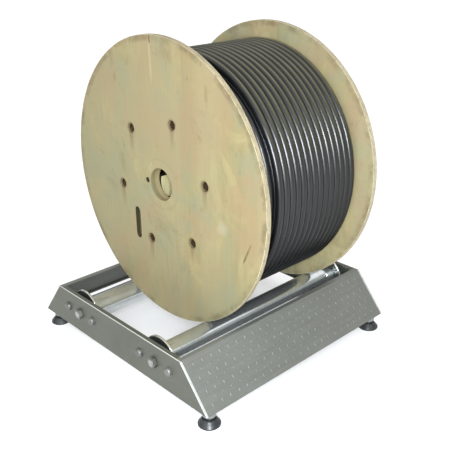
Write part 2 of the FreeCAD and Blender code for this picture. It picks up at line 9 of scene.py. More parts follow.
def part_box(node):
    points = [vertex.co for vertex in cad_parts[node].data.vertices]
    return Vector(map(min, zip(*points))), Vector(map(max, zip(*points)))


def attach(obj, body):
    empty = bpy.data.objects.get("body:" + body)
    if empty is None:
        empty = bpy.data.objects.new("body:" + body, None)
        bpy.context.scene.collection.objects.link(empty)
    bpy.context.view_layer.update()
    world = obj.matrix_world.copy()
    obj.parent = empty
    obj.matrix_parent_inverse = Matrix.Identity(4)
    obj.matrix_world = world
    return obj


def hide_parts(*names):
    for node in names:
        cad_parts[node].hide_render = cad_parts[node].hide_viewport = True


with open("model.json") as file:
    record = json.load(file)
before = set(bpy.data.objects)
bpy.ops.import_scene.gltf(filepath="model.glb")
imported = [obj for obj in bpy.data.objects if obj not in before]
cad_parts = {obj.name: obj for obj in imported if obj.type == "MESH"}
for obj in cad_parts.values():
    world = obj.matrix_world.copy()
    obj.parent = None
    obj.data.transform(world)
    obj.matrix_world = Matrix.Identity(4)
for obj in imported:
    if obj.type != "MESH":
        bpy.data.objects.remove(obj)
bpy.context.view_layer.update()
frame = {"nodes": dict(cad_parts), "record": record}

# A plywood cable drum on a low roller stand. Metres, +Z up, drum and rollers along Y.
# The CAD nodes give the frame; this script adds the winding, the tread marks, the
# corner seams (pale: a painted highlight) and the foot collars, and gives every surface its
# material.
# Colours are linear RGB. "Up" in a material is the height above the drum's axis.

NODES = frame["nodes"]


def middle(node):
    low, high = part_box(node)
    return [(a + b) / 2 for a, b in zip(low, high)]


def half_width(node):
    low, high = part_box(node)
    return (high[0] - low[0]) / 2


AXIS_Z = middle("near_flange")[2]
NEAR_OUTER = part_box("near_flange")[0][1]
NEAR_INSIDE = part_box("near_flange")[1][1]
FAR_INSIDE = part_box("far_flange")[0][1]
FAR_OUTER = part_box("far_flange")[1][1]
FLANGE_RADIUS = half_width("near_flange")
WOUND_RADIUS = half_width("cable_outer_layer")
ROLLER_REACH = middle("front_guide_disc_near")[0]
ROLLER_HEIGHT = middle("front_guide_disc_near")[2]
GUIDE_RADIUS = 0.065
CABLE_RADIUS = 0.011
CABLE_PITCH = 0.022
FOLD = 0.014                    # width of the fold along the top of a side panel
TIE_REACH = 0.185               # from the drum's axis to a tie rod's seat
TIE_ANGLES = [math.radians(12 + 60 * step) for step in range(6)]
SPREADER_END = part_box("spreader_board")[0][1] + 0.0045
SPREADER_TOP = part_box("spreader_board")[1][2] - 0.0015


# ---------------------------------------------------------------- node materials

class Paint:
    """A material's node tree, with short calls for the nodes that every recipe uses."""

    def __init__(self, name):
        self.material = bpy.data.materials.new(name)
        self.material.use_nodes = True
        self.tree = self.material.node_tree
        self.shader = self.tree.nodes["Principled BSDF"]
        coords = self.tree.nodes.new("ShaderNodeTexCoord")
        self.place = coords.outputs["Object"]

    def feed(self, socket, value):
        if isinstance(value, bpy.types.NodeSocket):
            self.tree.links.new(value, socket)
        elif isinstance(value, (tuple, list)) and len(value) == 3 and socket.type == "RGBA":
            socket.default_value = (*value, 1.0)
        else:
            socket.default_value = value

    def node(self, kind, inputs=None, **settings):
        made = self.tree.nodes.new(kind)
        for key, value in settings.items():
            setattr(made, key, value)
        for key, value in (inputs or {}).items():
            self.feed(made.inputs[key], value)
        return made

    def calc(self, operation, first, second=0.0):
        return self.node("ShaderNodeMath", {0: first, 1: second}, operation=operation).outputs[0]

    def times(self, first, *others):
        for other in others:
            first = self.calc("MULTIPLY", first, other)
        return first

    def less(self, first, second):
        return self.calc("SUBTRACT", first, second)

    def over(self, value, limit):
        return self.calc("GREATER_THAN", value, limit)

    def under(self, value, limit):
        return self.calc("LESS_THAN", value, limit)

    def reach(self, first, second):
        """Length of the flat vector (first, second)."""
        return self.calc("SQRT", self.calc("ADD", self.times(first, first),
                                           self.times(second, second)))

    def fade(self, value, start, end, first=0.0, last=1.0):
        """first at start, changing evenly to last at end."""
        inputs = {"Value": value, 1: start, 2: end, 3: first, 4: last}
        return self.node("ShaderNodeMapRange", inputs).outputs[0]

    def window(self, value, low, high, soft):
        """1 between low and high, falling to 0 over soft on each side."""
        return self.times(self.fade(value, low - soft, low),
                          self.fade(value, high, high + soft, 1.0, 0.0))

    def noise(self, scale, detail=3.0, rough=0.5, bend=0.0, shift=(0.0, 0.0, 0.0)):
        if not isinstance(scale, tuple):
            scale = (scale, scale, scale)
        mapping = {"Vector": self.place, "Scale": scale, "Location": shift}
        inputs = {"Vector": self.node("ShaderNodeMapping", mapping).outputs[0], "Scale": 1.0,
                  "Detail": detail, "Roughness": rough, "Distortion": bend}
        return self.node("ShaderNodeTexNoise", inputs).outputs["Fac"]

    def ramp(self, value, *stops):
        made = self.node("ShaderNodeValToRGB", {"Fac": value})
        points = made.color_ramp.elements
        while len(points) < len(stops):
            points.new(0.5)
        for point, (at, colour) in zip(points, stops):
            point.position = at
            if not isinstance(colour, tuple):
                colour = (colour, colour, colour)
            point.color = (*colour, 1.0)
        return made.outputs["Color"]

    def rise(self, value, low, high):
        """Black up to low, white from high."""
        return self.ramp(value, (low, 0.0), (high, 1.0))

    def blend(self, amount, first, second, mode="MIX"):
        made = self.node("ShaderNodeMix", data_type="RGBA", blend_type=mode)
        self.feed(made.inputs[0], amount)
        self.feed(made.inputs[6], first)
        self.feed(made.inputs[7], second)
        return made.outputs[2]

    def axes(self, source=None):
        made = self.node("ShaderNodeSeparateXYZ", {0: source or self.place})
        return made.outputs[0], made.outputs[1], made.outputs[2]

    def facing(self):
        """X, Y and Z of the surface's normal."""
        return self.axes(self.node("ShaderNodeNewGeometry").outputs["Normal"])

    def bump(self, height, strength, distance, before=None):
        inputs = {"Height": height, "Strength": strength, "Distance": distance}
        if before is not None:
            inputs["Normal"] = before
        return self.node("ShaderNodeBump", inputs).outputs[0]

    def finish(self, **sockets):
        for key, value in sockets.items():
            self.feed(self.shader.inputs[key.replace("_", " ")], value)
        return self.material


def veneer(p, fine, broad, speck):
    """Fine grain and broad warm streaks, under cloudy tints, sheet joints, dirt and specks."""
    cloud = p.noise((6.5, 6.5, 5.0), 6.0, 0.66, 1.0)
    blush = p.noise((3.8, 3.8, 3.0), 4.0, 0.6, 1.4, shift=(3.1, 0.0, 7.7))
    sheets = p.noise((5.5, 60.0, 0.15), 1.0, 0.3)
    dirt = p.noise((4.6, 4.6, 3.4), 7.0, 0.72, 1.5)
    green_cast = (0.285, 0.290, 0.190)
    straw = (0.460, 0.400, 0.225)
    pink_cast = (0.365, 0.270, 0.160)
    pale_sheet = (0.370, 0.345, 0.215)
    brown_dirt = (0.205, 0.150, 0.078)
    dark_speck = (0.190, 0.150, 0.090)
    grain = p.ramp(fine, (0.3, (0.305, 0.262, 0.138)), (0.7, (0.370, 0.326, 0.182)))
    warm = p.ramp(broad, (0.34, (0.350, 0.305, 0.163)), (0.52, (0.350, 0.314, 0.176)),
                  (0.68, (0.290, 0.243, 0.125)))
    colour = p.blend(0.6, grain, warm)
    # Each tint: where it lies, the ramp's two stops, how strong it is, its colour.
    for pattern, start, end, strength, tint in (
            (cloud, (0.46, 0.0), (0.58, 1.0), 0.85, green_cast),
            (cloud, (0.34, 1.0), (0.45, 0.0), 0.60, straw),
            (blush, (0.48, 0.0), (0.60, 1.0), 0.70, pink_cast),
            (sheets, (0.48, 0.0), (0.52, 1.0), 0.35, pale_sheet),
            (dirt, (0.56, 0.0), (0.70, 1.0), 0.55, brown_dirt),
            (speck, (0.60, 0.0), (0.72, 1.0), 0.40, dark_speck)):
        colour = p.blend(p.times(p.ramp(pattern, start, end), strength), colour, tint)
    return colour


def tie_seat_marks(p, colour, x, up, fine):
    """A brown ring and run below each tie seat; also gives the distance to the nearest seat."""
    run_sway = 0.008
    run_brown, ring_brown = (0.165, 0.110, 0.055), (0.170, 0.110, 0.055)
    to_tie = 1.0
    for angle in TIE_ANGLES:
        away_x = p.less(x, TIE_REACH * math.cos(angle))
        away_up = p.less(up, TIE_REACH * math.sin(angle))
        to_tie = p.calc("MINIMUM", to_tie, p.reach(away_x, away_up))
        sway = p.calc("ADD", away_x, p.times(p.less(fine, 0.5), run_sway))
        drop = p.times(away_up, -1.0)
        run = p.times(p.window(sway, -0.005, 0.004, 0.007), p.fade(drop, 0.012, 0.075, 0.5, 0.0),
                      p.over(drop, 0.0))
        colour = p.blend(run, colour, run_brown)
    ring = p.fade(to_tie, 0.0142, 0.021, 0.45, 0.0)
    return p.blend(ring, colour, ring_brown), to_tie


def near_flange_marks(p, colour, x, y, up, broad, speck):
    """A pale streak and a notch at the top, a scratch, a brown stain and a rubbed patch."""
    near_only = p.under(y, 0.0)
    wander = p.calc("ADD", x, p.times(p.less(broad, 0.5), 0.02))
    streak = p.times(p.window(wander, -0.0205, -0.0165, 0.004), p.window(up, 0.300, 0.41, 0.03),
                     near_only, 0.45)
    colour = p.blend(streak, colour, (0.500, 0.455, 0.300))
    notch = p.times(p.window(x, -0.0200, -0.0165, 0.0012), p.window(up, 0.381, 0.41, 0.006),
                    near_only, 0.8)
    colour = p.blend(notch, colour, (0.085, 0.065, 0.035))
    scratch_x, scratch_up = 0.333, -0.101
    lean_x, lean_up = 0.42, 0.91
    from_x = p.less(x, scratch_x)
    from_up = p.less(up, scratch_up)
    along = p.calc("ADD", p.times(from_x, lean_x), p.times(from_up, lean_up))
    across = p.less(p.times(from_x, lean_up), p.times(from_up, lean_x))
    scratch = p.times(p.window(across, -0.0016, 0.0016, 0.002),
                      p.window(along, -0.026, 0.026, 0.010), near_only,
                      p.ramp(speck, (0.40, 0.25), (0.55, 0.75)))
    colour = p.blend(scratch, colour, (0.120, 0.085, 0.040))
    stain = p.times(p.window(x, 0.192, 0.198, 0.005), p.window(up, 0.262, 0.288, 0.014),
                    near_only, 0.4)
    colour = p.blend(stain, colour, (0.235, 0.170, 0.085))
    patch_x, patch_up = 0.243, -0.059
    patch = p.fade(p.reach(p.less(x, patch_x), p.less(up, patch_up)), 0.008, 0.026, 0.45, 0.0)
    return p.blend(p.times(patch, near_only), colour, (0.480, 0.460, 0.340))


def cut_wood(p, colour, y, radius, to_tie, speck, span):
    """Dark walls of the small holes, and the plies that show round the rim."""
    skin = 0.0011
    ply = 0.005
    seat_radius = 0.0155
    rim_depth = 0.0016
    inside = p.window(y, span[0] + skin, span[1] - skin, 0.0004)
    holes = p.times(inside, p.window(radius, 0.050, 0.380, 0.001), p.over(to_tie, seat_radius))
    colour = p.blend(holes, colour, p.blend(speck, (0.040, 0.034, 0.018), (0.085, 0.072, 0.040)))
    plies = p.calc("FRACT", p.times(y, 1.0 / ply))
    layer = p.ramp(plies, (0.0, (0.50, 0.46, 0.34)), (0.46, (0.45, 0.40, 0.28)),
                   (0.5, (0.22, 0.17, 0.10)), (0.60, (0.40, 0.34, 0.22)),
                   (0.97, (0.52, 0.48, 0.36)))
    nicks = p.rise(p.noise((60.0, 300.0, 60.0), 3.0, 0.7), 0.54, 0.62)
    layer = p.blend(p.times(nicks, 0.7), layer, (0.16, 0.12, 0.08))
    worn = p.rise(p.noise(14.0, 4.0, 0.7), 0.42, 0.62)
    layer = p.blend(p.times(worn, 0.45), layer, (0.27, 0.23, 0.15))
    return p.blend(p.over(radius, FLANGE_RADIUS - rim_depth), colour, layer)


def painted_end_shade(p, colour, y, z, up, speck):
    """Painted shade on the spreader's end behind the bore: dark outside an ellipse, with a dark top
    face.
    """
    half_along, half_high = 0.034, 0.0515
    centre_down = 0.0115
    end_depth = 0.030
    along = p.calc("DIVIDE", p.less(y, SPREADER_END + half_along), half_along)
    high = p.calc("DIVIDE", p.calc("ADD", up, centre_down), half_high)
    reach = p.calc("ADD", p.times(along, along), p.times(high, high))
    # Painted shade: the end, and the top face outside the ellipse, go dark.
    end_shade = p.times(p.over(reach, 1.0), p.under(y, SPREADER_END + end_depth))
    end_shade = p.calc("MAXIMUM", end_shade, p.under(y, SPREADER_END))
    end_shade = p.calc("MAXIMUM", end_shade, p.over(z, SPREADER_TOP))
    return p.blend(end_shade, colour, p.blend(speck, (0.010, 0.008, 0.004), (0.030, 0.024, 0.014)))


def plywood(name, tone, span=None, end_shade=False):
    """Weathered softwood veneer; span is a flange's thickness along Y, for its rim and holes."""
    p = Paint(name)
    x, y, z = p.axes()
    up = p.less(z, AXIS_Z)
    radius = p.reach(x, up)
    fine = p.noise((150.0, 150.0, 4.0), 4.0, 0.6, 0.4)
    broad = p.noise((10.0, 10.0, 1.6), 3.0, 0.6, 1.6)
    speck = p.noise((75.0, 75.0, 40.0), 4.0, 0.7)
    colour = veneer(p, fine, broad, speck)
    if span is not None:
        colour, to_tie = tie_seat_marks(p, colour, x, up, fine)
        worn_ring = p.window(radius, 0.0700, 0.0725, 0.003)
        colour = p.blend(p.times(worn_ring, 0.15), colour, (0.20, 0.16, 0.09))
        colour = near_flange_marks(p, colour, x, y, up, broad, speck)
        scuffs = p.times(p.window(radius, 0.389, 0.42, 0.010),
                         p.rise(p.noise(16.0, 5.0, 0.7), 0.44, 0.62), 0.6)
        colour = p.blend(scuffs, colour, (0.16, 0.125, 0.07))
        colour = cut_wood(p, colour, y, radius, to_tie, speck, span)
    colour = p.blend(1.0, colour, tone, "MULTIPLY")
    bore_wall = p.under(radius, 0.0463)
    shaded = p.blend(1.0, colour, (0.80, 0.78, 0.78), "MULTIPLY")
    colour = p.blend(bore_wall, colour, shaded)
    # Painted shade on the spreader's end behind the bore.
    if end_shade:
        colour = painted_end_shade(p, colour, y, z, up, speck)
    rough = p.ramp(fine, (0.3, 0.66), (0.7, 0.54))
    normal = p.bump(fine, 0.25, 0.0004)
    normal = p.bump(broad, 0.2, 0.0012, normal)
    return p.finish(Base_Color=colour, Roughness=rough, Normal=normal, Specular_IOR_Level=0.25)


def cable_sheath():
    """Black PVC: olive crowns on top of the winding, partly dust and partly a painted sheen; glossy
    in the middle, dull below.
    """
    p = Paint("cable_sheath")
    x, _, z = p.axes()
    up = p.less(z, AXIS_Z)
    crown = p.fade(p.reach(x, up), WOUND_RADIUS - 0.0024, WOUND_RADIUS - 0.0006)
    above = p.fade(up, 0.06, 0.30)
    scuff = p.noise((25.0, 260.0, 25.0), 4.0, 0.6)
    patches = p.ramp(p.noise((9.0, 30.0, 9.0), 3.0, 0.6), (0.3, 0.55), (0.7, 1.0))
    colour = p.ramp(scuff, (0.35, (0.0030, 0.0034, 0.0038)), (0.62, (0.0055, 0.0062, 0.0066)),
                    (0.8, (0.018, 0.019, 0.018)))
    # Dust and painted sheen: the crowns of the upper turns go pale olive.
    dust = p.times(crown, above, patches, 0.8)
    colour = p.blend(dust, colour, (0.120, 0.113, 0.055))
    rough = p.ramp(scuff, (0.3, 0.29), (0.7, 0.37))
    normal = p.bump(p.noise((60.0, 500.0, 60.0), 3.0, 0.6), 0.10, 0.0003)
    gloss = p.times(p.fade(up, -0.22, 0.06, 0.06, 0.66), p.fade(up, 0.14, 0.32, 1.0, 0.5))
    return p.finish(Base_Color=colour, Roughness=rough, Normal=normal, Specular_IOR_Level=gloss)


def turned_steel(name, low, high, rough, grain=(9.0, 900.0, 9.0), metal=1.0):
    """Bright or dark steel with fine marks round the Y axis."""
    p = Paint(name)
    marks = p.noise(grain, 3.0, 0.6)
    haze = p.noise(12.0, 4.0, 0.6)
    colour = p.blend(p.rise(haze, 0.35, 0.65), low, high)
    roughness = p.ramp(p.calc("ADD", p.times(marks, 0.5), p.times(haze, 0.5)),
                       (0.35, rough * 0.8), (0.7, rough * 1.5))
    normal = p.bump(marks, 0.05, 0.0002)
    return p.finish(Base_Color=colour, Metallic=metal, Roughness=roughness, Normal=normal)


def guide_steel():
    """Guide disc: dull faces and a pale, smooth rim, which is a painted highlight."""
    rim_depth = 0.0026
    beyond = 0.1
    p = Paint("disc_steel")
    x, _, z = p.axes()
    across = p.less(p.calc("ABSOLUTE", x), ROLLER_REACH)
    radius = p.reach(across, p.less(z, ROLLER_HEIGHT))
    marks = p.rise(p.noise((9.0, 900.0, 9.0), 3.0, 0.6), 0.3, 0.7)
    face = p.blend(marks, (0.075, 0.078, 0.075), (0.135, 0.138, 0.130))
    # Painted highlight: the rim is pale and smooth.
    rim = p.window(radius, GUIDE_RADIUS - rim_depth, beyond, 0.0008)
    colour = p.blend(rim, face, (0.68, 0.69, 0.66))
    rough = p.ramp(rim, (0.0, 0.42), (1.0, 0.22))
    normal = p.bump(marks, 0.06, 0.0002)
    return p.finish(Base_Color=colour, Metallic=0.9, Roughness=rough, Normal=normal)


def sheet_steel(name, low, high, rough, grain, edge=None, metal=0.6):
    """Brushed sheet with faint smears and painted shade on faces turned down; edge(p) says where a
    painted highlight goes.
    """
    p = Paint(name)
    brush = p.noise(grain, 4.0, 0.65)
    smear = p.noise((4.0, 4.0, 7.0), 5.0, 0.65, 1.0)
    colour = p.blend(p.rise(brush, 0.3, 0.7), low, high)
    colour = p.blend(p.times(p.rise(smear, 0.45, 0.7), 0.3), colour,
                     tuple(channel * 0.75 for channel in low))
    roughness = p.ramp(p.calc("ADD", p.times(brush, 0.6), p.times(smear, 0.4)),
                       (0.35, rough * 0.9), (0.65, rough * 1.15))
    # Painted shade: faces turned downward are darkened.
    underside_shade = p.window(p.facing()[2], -0.85, -0.35, 0.1)
    colour = p.blend(p.times(underside_shade, 0.8), colour, (0.055, 0.058, 0.052))
    metallic = metal
    if edge is not None:
        # Painted highlight: the edge mask makes the sheet paler and smoother there.
        painted_highlight = edge(p)
        colour = p.blend(painted_highlight, colour, (0.50, 0.51, 0.47))
        roughness = p.blend(painted_highlight, roughness, (0.3, 0.3, 0.3))
        metallic = p.ramp(painted_highlight, (0.0, metal), (1.0, 0.35))
    normal = p.bump(brush, 0.10, 0.0002)
    return p.finish(Base_Color=colour, Metallic=metallic, Roughness=roughness, Normal=normal)


def bend_and_cut_highlights(p):
    """Painted highlight on the rounded top bend of an end wall, and on its slanted cut edges, which
    are also pale as bare cut metal.
    """
    x, y, z = p.facing()
    sideways = p.calc("ABSOLUTE", y)
    bend = p.times(p.window(sideways, 0.25, 0.93, 0.06), p.over(z, 0.25))
    cut = p.times(p.under(sideways, 0.5), p.over(p.calc("ABSOLUTE", x), 0.4))
    return p.calc("MAXIMUM", bend, cut)


def cast_iron():
    p = Paint("cast_housing")
    sand = p.noise(420.0, 4.0, 0.6)
    stain = p.noise(30.0, 4.0, 0.6)
    colour = p.ramp(stain, (0.35, (0.10, 0.105, 0.11)), (0.65, (0.17, 0.17, 0.165)))
    rough = p.ramp(sand, (0.3, 0.55), (0.7, 0.75))
    normal = p.bump(sand, 0.4, 0.0005)
    return p.finish(Base_Color=colour, Metallic=0.5, Roughness=rough, Normal=normal)


def rubber(name, low, high, rough):
    p = Paint(name)
    mottle = p.noise(90.0, 4.0, 0.6)
    dust = p.noise((30.0, 30.0, 80.0), 4.0, 0.7)
    colour = p.ramp(mottle, (0.35, low), (0.7, high))
    colour = p.blend(p.times(p.rise(dust, 0.52, 0.75), 0.3), colour, (0.12, 0.115, 0.10))
    roughness = p.ramp(dust, (0.3, rough), (0.7, rough + 0.2))
    normal = p.bump(mottle, 0.25, 0.0004)
    return p.finish(Base_Color=colour, Roughness=roughness, Normal=normal)


def rusty_steel():
    """Old plated steel, rust brown where the plating has gone."""
    p = Paint("rusty_steel")
    grit = p.noise(900.0, 3.0, 0.6)
    rusted = p.rise(p.noise(140.0, 5.0, 0.7), 0.30, 0.45)
    rust = p.ramp(grit, (0.35, (0.014, 0.008, 0.003)), (0.65, (0.040, 0.021, 0.007)))
    colour = p.blend(rusted, (0.075, 0.058, 0.040), rust)
    metal = p.times(p.less(1.0, rusted), 0.6)
    rough = p.ramp(rusted, (0.0, 0.5), (1.0, 0.9))
    normal = p.bump(grit, 0.5, 0.0004)
    return p.finish(Base_Color=colour, Metallic=metal, Roughness=rough, Normal=normal,
                    Specular_IOR_Level=0.15)


def fibre_board():
    p = Paint("fibre_barrel")
    fibre = p.noise((300.0, 20.0, 300.0), 4.0, 0.7)
    colour = p.ramp(fibre, (0.3, (0.020, 0.016, 0.011)), (0.7, (0.050, 0.040, 0.026)))
    rough = p.ramp(fibre, (0.3, 0.75), (0.7, 0.9))
    return p.finish(Base_Color=colour, Roughness=rough, Normal=p.bump(fibre, 0.3, 0.0004))


MATERIALS = {
    "near_plywood": plywood("near_plywood", (0.745, 0.715, 0.645), (NEAR_OUTER, NEAR_INSIDE)),
    "far_plywood": plywood("far_plywood", (0.90, 0.88, 0.84), (FAR_INSIDE, FAR_OUTER)),
    "board_plywood": plywood("board_plywood", (1.08, 1.03, 0.95)),
    # The spreader is a much lighter copy of the plywood: painted light, for the light that reaches
    # it through the bore.
    "spreader_plywood": plywood("spreader_plywood", (1.60, 1.55, 1.45), end_shade=True),
    "cable_sheath": cable_sheath(),
    "polished_tube": turned_steel("polished_tube", (0.51, 0.54, 0.54), (0.62, 0.65, 0.65), 0.14,
                                  metal=0.88),
    "disc_steel": guide_steel(),
    "bearing_steel": turned_steel("bearing_steel", (0.30, 0.30, 0.29), (0.42, 0.42, 0.40), 0.34),
    "bolt_steel": turned_steel("bolt_steel", (0.17, 0.17, 0.16), (0.27, 0.27, 0.25), 0.50,
                               (60.0, 60.0, 60.0)),
    "smooth_sheet": sheet_steel("smooth_sheet", (0.096, 0.100, 0.080), (0.130, 0.135, 0.110),
                                0.46, (6.0, 500.0, 500.0), bend_and_cut_highlights),
    "tread_sheet": sheet_steel("tread_sheet", (0.138, 0.143, 0.125), (0.177, 0.182, 0.161),
                               0.52, (300.0, 8.0, 300.0), metal=0.35),
    # The raised marks are a paler copy of the tread sheet: a painted glint.
    "tread_mark": sheet_steel("tread_mark", (0.172, 0.177, 0.160), (0.218, 0.223, 0.203),
                              0.46, (300.0, 300.0, 300.0), metal=0.4),
    # The seams' pale steel is a painted highlight on the lit corner edges.
    "seam_steel": sheet_steel("seam_steel", (0.62, 0.63, 0.60), (0.74, 0.75, 0.72),
                              0.28, (300.0, 300.0, 12.0)),
    "frame_steel": sheet_steel("frame_steel", (0.23, 0.235, 0.225), (0.31, 0.315, 0.30),
                               0.42, (40.0, 300.0, 40.0)),
    "cast_housing": cast_iron(),
    "black_rubber": rubber("black_rubber", (0.013, 0.015, 0.016), (0.030, 0.033, 0.034), 0.30),
    "seal_rubber": rubber("seal_rubber", (0.02, 0.015, 0.012), (0.05, 0.035, 0.03), 0.5),
    "rusty_steel": rusty_steel(),
    "fibre_barrel": fibre_board(),
}

# Nodes whose look isn't named after their slot in the record.
NODE_LOOKS = {
    "near_flange": "near_plywood",
    "far_flange": "far_plywood",
    "near_hub_board": "board_plywood",
    "far_hub_board": "board_plywood",
    "spreader_board": "spreader_plywood",
    "housing_bolts": "bolt_steel",
    "housing_washers": "bolt_steel",
    "front_shaft_nuts": "bolt_steel",
    "rear_shaft_nuts": "bolt_steel",
}
record_slots = {row["node"]: row["material_slot"] for row in frame["record"]["subparts"]}
for node_name, node_object in NODES.items():
    look = MATERIALS[NODE_LOOKS.get(node_name, record_slots[node_name])]
    if not node_object.material_slots:
        node_object.data.materials.append(look)
    for material_slot in node_object.material_slots:
        material_slot.material = look


# ---------------------------------------------------------------- mesh pieces

def add_object(name, data):
    item = bpy.data.objects.new(name, data)
    bpy.context.scene.collection.objects.link(item)
    return item


def mesh_piece(name, points, faces, look, body, slot, smooth=True, hides=()):
    mesh = bpy.data.meshes.new(name)
    mesh.from_pydata([tuple(point) for point in points], [], faces)
    mesh.validate()
    mesh.update()
    for face in mesh.polygons:
        face.use_smooth = smooth
    piece = add_object(name, mesh)
    mesh.materials.append(MATERIALS[look])
    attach(piece, body)
    if hides:
        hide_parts(*hides)


def around(radius, angle, along):
    """A point at that radius and angle about the drum's axis."""
    return Vector((radius * math.cos(angle), along, AXIS_Z + radius * math.sin(angle)))


def ring_faces(steps, count, flip=False):
    """Faces of a closed ring made of that many steps, each with count points."""
    faces = []
    for step in range(steps):
        following = (step + 1) % steps
        for item in range(count):
            nearby = (item + 1) % count
            first, second = step * count + item, step * count + nearby
            third, fourth = following * count + nearby, following * count + item
            faces.append((first, fourth, third, second) if flip else (first, second, third, fourth))
    return faces


def wound_tube(first_y, turns, reach, start_angle, wander, sides=14, steps=144):
    """Points and faces of a cable wound as a helix, with closed domed ends."""
    waves = 7
    swell_share = 0.25
    # The rings of a domed end: size and how far it stands out, as shares of the radius.
    end_sizes = ((0.35, 0.45), (0.8, 0.25))
    total = int(turns * steps)
    ripple = random.Random(7 + int(turns))
    ripples = [(ripple.uniform(0.4, 2.6), ripple.uniform(0, 6.28), ripple.uniform(0.3, 1.0))
               for _ in range(waves)]

    def centre(step):
        angle = start_angle + 2 * math.pi * step / steps
        drift = sum(size * math.sin(rate * angle + phase) for rate, phase, size in ripples) / waves
        swell = sum(size * math.cos(rate * 1.7 * angle + phase)
                    for rate, phase, size in ripples) / waves
        along = first_y + CABLE_PITCH * step / steps + wander * drift
        return around(reach + swell_share * wander * swell, angle, along), angle

    rings = [(0, size, -out) for size, out in end_sizes]
    rings += [(step, 1.0, 0.0) for step in range(total + 1)]
    rings += [(total, size, out) for size, out in reversed(end_sizes)]
    points = []
    faces = []
    for step, size, out in rings:
        spot, angle = centre(step)
        ahead = (centre(step + 1)[0] - centre(step - 1)[0]).normalized()
        if out:
            spot = spot + ahead * CABLE_RADIUS * out
        outward = Vector((math.cos(angle), 0, math.sin(angle)))
        sideways = ahead.cross(outward).normalized()
        outward = sideways.cross(ahead).normalized()
        for side in range(sides):
            turn = 2 * math.pi * side / sides
            points.append(spot + (outward * math.cos(turn) + sideways * math.sin(turn))
                          * CABLE_RADIUS * size)
    last = len(rings) - 1
    for number in range(last):
        for side in range(sides):
            a = number * sides + side
            b = number * sides + (side + 1) % sides
            faces.append((a, b, b + sides, a + sides))
    faces.append(tuple(range(sides)))
    faces.append(tuple(last * sides + side for side in reversed(range(sides))))
    return points, faces


def wind_cable():
    """The outer layer, the layer under it that shows beside the near flange, and the core."""
    outer_turns = 15.0
    under_turns = 17.0
    short = 0.95                    # the helix has this much less than the turns seen side by side
    layer_step = 0.0205             # a little less than the cable, which beds into the grooves
    core_gap = 0.0005
    outer_reach = WOUND_RADIUS - CABLE_RADIUS - 0.0004
    under_reach = outer_reach - layer_step
    outer_first = FAR_INSIDE - 0.0006 - CABLE_RADIUS - CABLE_PITCH * (outer_turns - 1) - 0.0028
    under_first = NEAR_INSIDE + CABLE_RADIUS + 0.0016
    for name, node, layer in (
            ("cable_outer_turns", "cable_outer_layer",
             (outer_first, outer_turns - short, outer_reach, math.radians(205), 0.0012)),
            ("cable_under_turns", "cable_inner_layers",
             (under_first, under_turns, under_reach, math.radians(30), 0.0010))):
        mesh_piece(name, *wound_tube(*layer), "cable_sheath", "drum", "cable_sheath", hides=(node,))
    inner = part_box("drum_barrel")[1][0] + 0.0004
    outer = under_reach - 0.003
    near, far = NEAR_INSIDE + core_gap, FAR_INSIDE - core_gap
    profile = [(inner, near), (outer, near), (outer, far), (inner, far)]
    steps = 128
    points = [around(radius, 2 * math.pi * step / steps, along)
              for step in range(steps) for radius, along in profile]
    mesh_piece("cable_core", points, ring_faces(steps, len(profile)), "cable_sheath", "drum",
               "cable_sheath", smooth=False)


def panel_slope(side):
    """Top corner, foot corner, way down and outward way of a side panel's slanting face."""
    low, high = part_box("front_side_panel" if side > 0 else "rear_side_panel")
    top = Vector((low[0] + FOLD if side > 0 else high[0] - FOLD, 0, high[2]))
    foot = Vector((high[0] if side > 0 else low[0], 0, low[2]))
    slope = (foot - top).normalized()
    outward = Vector((-slope.z * side, 0, slope.x * side))
    return top, foot, slope, outward


def raised_marks(name, side):
    """Raised marks of the tread sheet: rows of dashes, with round studs in the rows between."""
    dash_shape = (0.0062, 0.0024, 0.0010)       # half length, half width, height
    stud_shape = (0.0030, 0.0028, 0.0009)
    sunk = 0.0002
    jitter = 0.0015
    pitch_along = 0.030
    end_margin = 0.030
    first = 0.021
    rows = 7
    ring = 12
    top, foot, slope, outward = panel_slope(side)
    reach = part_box("front_side_panel")[1][1] - end_margin
    along = Vector((0, 1, 0))
    pitch_down = ((foot - top).length - 2 * first) / (rows - 1)
    scatter = random.Random(3 + side)
    flip = slope.cross(along).dot(outward) < 0
    points = []
    faces = []
    for row in range(rows):
        dash = row % 2 == 0
        half_long, half_wide, proud = dash_shape if dash else stud_shape
        y = -reach + (0.0 if dash else pitch_along / 2)
        while y < reach:
            centre = (top + slope * (first + pitch_down * row)
                      + along * (y + scatter.uniform(-jitter, jitter)))
            base = len(points)
            for size, lift in ((1.0, -sunk), (0.80, proud * 0.60), (0.42, proud * 0.95)):
                for step in range(ring):
                    turn = 2 * math.pi * step / ring
                    points.append(centre + slope * (half_long * size * math.cos(turn))
                                  + along * (half_wide * size * math.sin(turn)) + outward * lift)
            points.append(centre + outward * proud)
            tip = len(points) - 1
            for step in range(ring):
                following = (step + 1) % ring
                for level in (0, ring):
                    face = (base + level + step, base + level + following,
                            base + level + ring + following, base + level + ring + step)
                    faces.append(face[::-1] if flip else face)
                a = base + 2 * ring + step
                b = base + 2 * ring + following
                faces.append((b, a, tip) if flip else (a, b, tip))
            under = tuple(base + step for step in range(ring))
            faces.append(under if flip else under[::-1])
            y += pitch_along
    mesh_piece(name, points, faces, "tread_mark", "frame", "tread_sheet")


